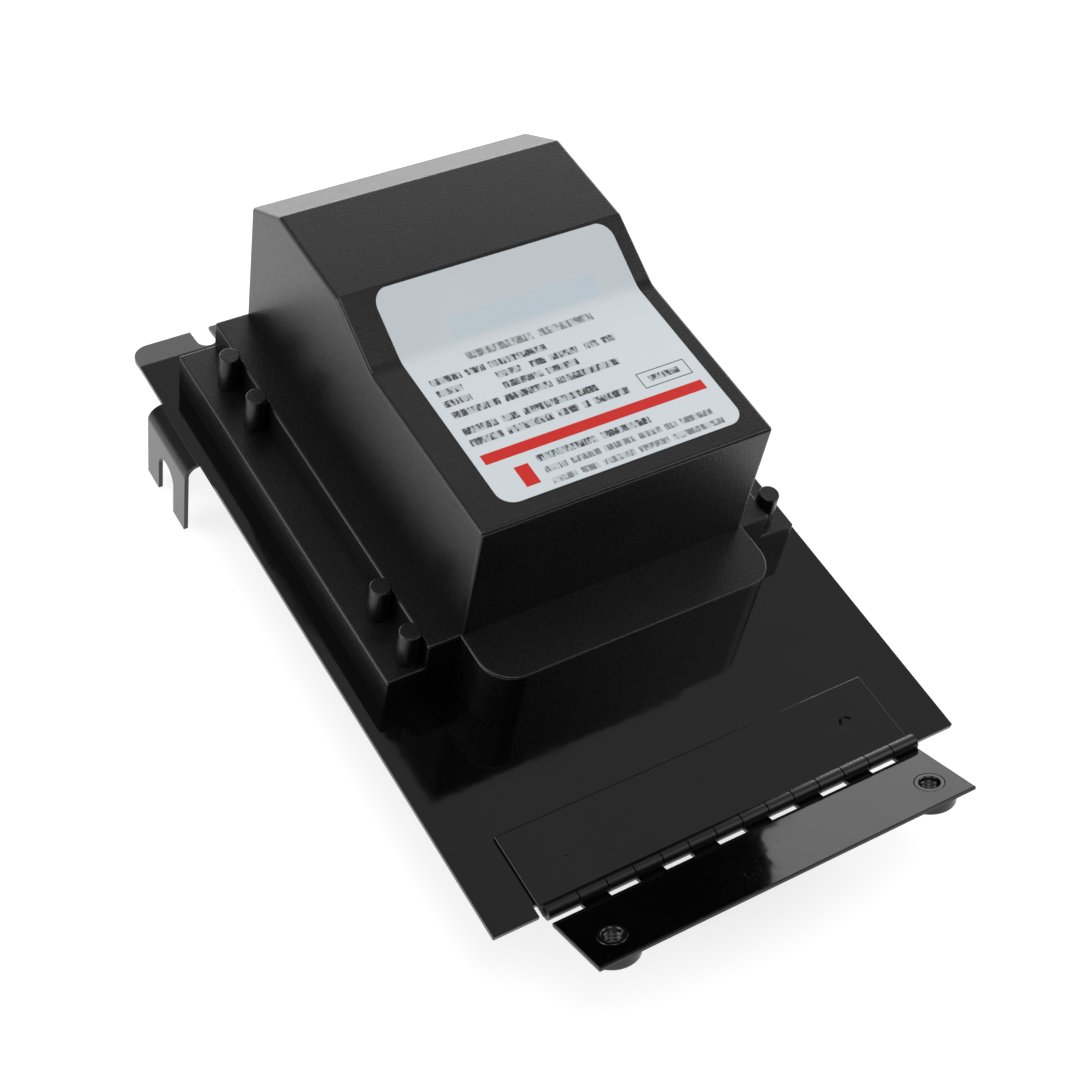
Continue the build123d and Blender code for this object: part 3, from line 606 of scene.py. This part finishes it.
# Thread ridge: a three-sided section swept up a helix with the Screw modifier. Its point ends
# at the crest, and its base lies a little inside the root.
def helixRidge(name, crest, root, pitch, bottom, top, inward, steps=threadRidge["steps"]):
    clearSelection()
    radius = pitch * threadRidge["radius"]
    bpy.ops.mesh.primitive_circle_add(vertices=3, radius=radius, rotation=(math.pi / 2, 0, 0))
    ridge = bpy.context.object
    ridge.name = name
    applyPlace(location=False)
    bpy.ops.object.mode_set(mode="EDIT")
    bpy.ops.mesh.select_all(action="SELECT")
    turn = math.radians(90 if inward else -90)
    bpy.ops.transform.rotate(value=turn, orient_axis="Y", center_override=(0, 0, 0))
    bpy.ops.object.mode_set(mode="OBJECT")
    reach = max(abs(v.co.x) for v in ridge.data.vertices)
    ridge.scale = (abs(root - crest) * threadRidge["reach"] / reach, 1, threadRidge["narrow"])
    ridge.location = (crest + (root - crest) * threadRidge["reach"], 0, bottom)
    applyPlace()
    screw = ridge.modifiers.new("thread", "SCREW")
    screw.axis = "Z"
    screw.angle = 2 * math.pi
    screw.screw_offset = pitch
    screw.iterations = max(1, round((top - bottom) / pitch))
    screw.steps = screw.render_steps = steps
    pickOnly(ridge)
    bpy.ops.object.modifier_apply(modifier="thread")
    bpy.ops.object.mode_set(mode="EDIT")
    bpy.ops.mesh.select_all(action="SELECT")
    bpy.ops.mesh.fill_holes(sides=4)
    bpy.ops.mesh.select_all(action="SELECT")
    bpy.ops.mesh.normals_make_consistent(inside=False)
    bpy.ops.object.mode_set(mode="OBJECT")
    return ridge


def joinPieces(first, others):
    clearSelection()
    for piece in [first] + others:
        piece.select_set(True)
    bpy.context.view_layer.objects.active = first
    bpy.ops.object.join()
    return first


smoothAngle = math.radians(35)    # flatter edges are shaded smooth


def finishPiece(piece, finish):
    piece.data.materials.clear()
    piece.data.materials.append(finish)
    pickOnly(piece)
    bpy.ops.object.shade_smooth_by_angle(angle=smoothAngle)


# Hinge leaf and its two clinch nuts, in millimetres.

hinge = {
    "pinPlace": (0.0, -125.5, 4.0),
    "leafAngle": 26.0,
    "barrel": 2.5,           # a knuckle's radius; the leaf's underside is as far below the pin
    "weldMarks": [(-52.4, -112.3, 0.9), (52.2, -110.2, 2.6)],    # x, y, radius
    "leafWaves": 8.0,        # against 1 for the orange peel
}

clinchNut = {
    "reach": 18.3,           # from the pin along the leaf
    "places": (-57.275, 57.275),
    "flange": 8.1,           # radius
    "flangeDepth": 5.5,
    "edge": 1.2,             # round of the flange's lower edge
    "edgeSteps": 6,
    "upperEdge": 0.35,
    "shank": 4.7,            # radius
    "shankEdge": 0.25,
    "leaf": 1.25,            # the leaf's thickness, which the shank fills
    "threadCrest": 2.7,
    "threadRoot": 3.1,
    "threadInset": 0.5,      # the ridge starts this far inside each mouth
    "pitch": 1.27,
    "mouth": 0.35,           # chamfer at each end of the thread
    "segments": 96,
    "roughness": 0.24,       # satin beside the leaf's gloss
}


# Shrinks millimetres to metres and stands the piece in the raised leaf.
def seatOnLeaf(piece, x):
    pickOnly(piece)
    piece.scale = (mm, mm, mm)
    applyPlace(location=False)
    lean = math.radians(hinge["leafAngle"])
    out, under = -clinchNut["reach"], -hinge["barrel"]
    pin = hinge["pinPlace"]
    piece.location = (
        x * mm,
        (pin[1] + out * math.cos(lean) + under * math.sin(lean)) * mm,
        (pin[2] - out * math.sin(lean) + under * math.cos(lean)) * mm,
    )
    piece.rotation_euler = (-lean, 0, 0)
    applyPlace()


def makeClinchNut(side, x, paint):
    size = clinchNut
    low, high = -size["flangeDepth"], size["leaf"]
    mouth, root = size["mouth"], size["threadRoot"]
    flange, upperEdge = size["flange"], size["upperEdge"]
    shank, shankEdge = size["shank"], size["shankEdge"]
    profile = [(root, low + mouth), (root + mouth, low)]
    profile += roundedCorner(flange, low, size["edge"], size["edgeSteps"])
    profile += [(flange, -upperEdge), (flange - upperEdge, 0.0), (shank, 0.0)]
    profile += [(shank, high - shankEdge), (shank - shankEdge, high)]
    profile += [(root + mouth, high), (root, high - mouth)]
    nut = turnProfile("clinchNut" + side, profile, size["segments"])
    inset = mouth + size["threadInset"]
    ridge = helixRidge(
        "clinchThread" + side, size["threadCrest"], root, size["pitch"],
        low + inset, high - inset, True, size["segments"],
    )
    nut = joinPieces(nut, [ridge])
    seatOnLeaf(nut, x)
    finishPiece(nut, paint)
    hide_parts("mount_nut_" + side.lower())
    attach(nut, "mounting_leaf")


# High-voltage terminals: a chamfered hexagon-headed stud with a rolled thread, and its nut.

terminal = {
    "places": (-24.0, 24.0),
    "y": 77.0,
    "studRadius": 2.5,
    "studRoot": 2.14,
    "pitch": 0.8,
    "threadTop": -12.0,
    "threadInset": (1.2, 0.4),   # from the tip, and below the thread's top
    "shoulder": 0.4,             # height of the step from the thread to the plain shank
    "tip": -28.0,
    "tipChamfer": 0.5,
    "headBottom": 5.5,
    "headHeight": 3.5,
    "headGrip": 0.2,             # how far the shank goes into the head
    "nutBottom": -24.8,
    "nutHeight": 4.0,
    "nutMouth": 0.35,
    "nutMouthDepth": 0.4,
    "acrossFlats": 8.0,
    "chamferAngle": 30.0,
    "chamferStart": 0.96,        # share of the flats' radius
    "turnedTo": 1.02,            # share of the corners' radius
    "overcut": 0.1,
    "segments": 48,
}


def cutWith(piece, tool, operation):
    pickOnly(piece)
    cut = piece.modifiers.new("cut", "BOOLEAN")
    cut.operation = operation
    cut.solver = "EXACT"
    cut.object = tool
    bpy.ops.object.modifier_apply(modifier="cut")
    bpy.data.objects.remove(tool)


# Hexagon with its corners turned off at both ends, as on a bolt head or nut.
def makeHexagon(name, bottom, height):
    size = terminal
    flat = size["acrossFlats"] / 2
    corner = flat / math.cos(math.pi / 6)
    clearSelection()
    bpy.ops.mesh.primitive_cylinder_add(
        vertices=6, radius=corner, depth=height,
        location=(0, 0, bottom + height / 2), rotation=(0, 0, math.pi / 6),
    )
    piece = bpy.context.object
    piece.name = name
    applyPlace()
    inner, outer = flat * size["chamferStart"], corner * size["turnedTo"]
    fall = (outer - inner) * math.tan(math.radians(size["chamferAngle"]))
    top = bottom + height
    profile = [(inner, bottom), (outer, bottom + fall), (outer, top - fall), (inner, top)]
    turning = turnProfile(name + "Turning", profile, size["segments"], solid=True)
    cutWith(piece, turning, "INTERSECT")
    return piece


# Shrinks millimetres to metres and stands the piece over its place on the plate.
def seatUpright(piece, x, y):
    pickOnly(piece)
    piece.scale = (mm, mm, mm)
    piece.location = (x * mm, y * mm, 0)
    applyPlace()


def makeStud(side):
    size = terminal
    radius, root, chamfer = size["studRadius"], size["studRoot"], size["tipChamfer"]
    tip, threadTop = size["tip"], size["threadTop"]
    profile = [(root - chamfer, tip), (root, tip + chamfer), (root, threadTop)]
    profile += [(radius, threadTop + size["shoulder"]), (radius, size["headBottom"] + size["headGrip"])]
    stud = turnProfile("terminalStud" + side, profile, size["segments"], solid=True)
    fromTip, belowTop = size["threadInset"]
    ridge = helixRidge(
        "terminalThread" + side, radius, root, size["pitch"],
        tip + fromTip, threadTop - belowTop, False,
    )
    head = makeHexagon("studHead" + side, size["headBottom"], size["headHeight"])
    return joinPieces(stud, [ridge, head])


def makeNut(side):
    size = terminal
    radius, depth, over = size["studRadius"], size["nutMouthDepth"], size["overcut"]
    mouth = radius + size["nutMouth"]
    low, high = size["nutBottom"], size["nutBottom"] + size["nutHeight"]
    nut = makeHexagon("terminalNut" + side, low, size["nutHeight"])
    bore = [(mouth, low - over), (radius, low + depth), (radius, high - depth), (mouth, high + over)]
    cutWith(nut, turnProfile("nutBore" + side, bore, size["segments"], solid=True), "DIFFERENCE")
    return nut


def makeTerminal(side, x, brass):
    for piece, node in ((makeStud(side), "terminal_stud_"), (makeNut(side), "terminal_nut_")):
        seatUpright(piece, x, terminal["y"])
        finishPiece(piece, brass)
        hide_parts(node + side.lower())
        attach(piece, "igniter")


bpy.context.scene.view_settings.view_transform = "Standard"
placeCamera()
placeWorld()
placeLamps()
placeFloor()
print("studio ready")
finishes = dressNodes()
print("finishes given to", len(nodes), "nodes")
nutPaint = makeBlackPaint("blackPaintNuts", least=clinchNut["roughness"])
for side, x in zip(("Left", "Right"), clinchNut["places"]):
    makeClinchNut(side, x, nutPaint)
print("clinch nuts turned and threaded")
for side, x in zip(("Left", "Right"), terminal["places"]):
    makeTerminal(side, x, finishes["brass"])
print("terminals made")
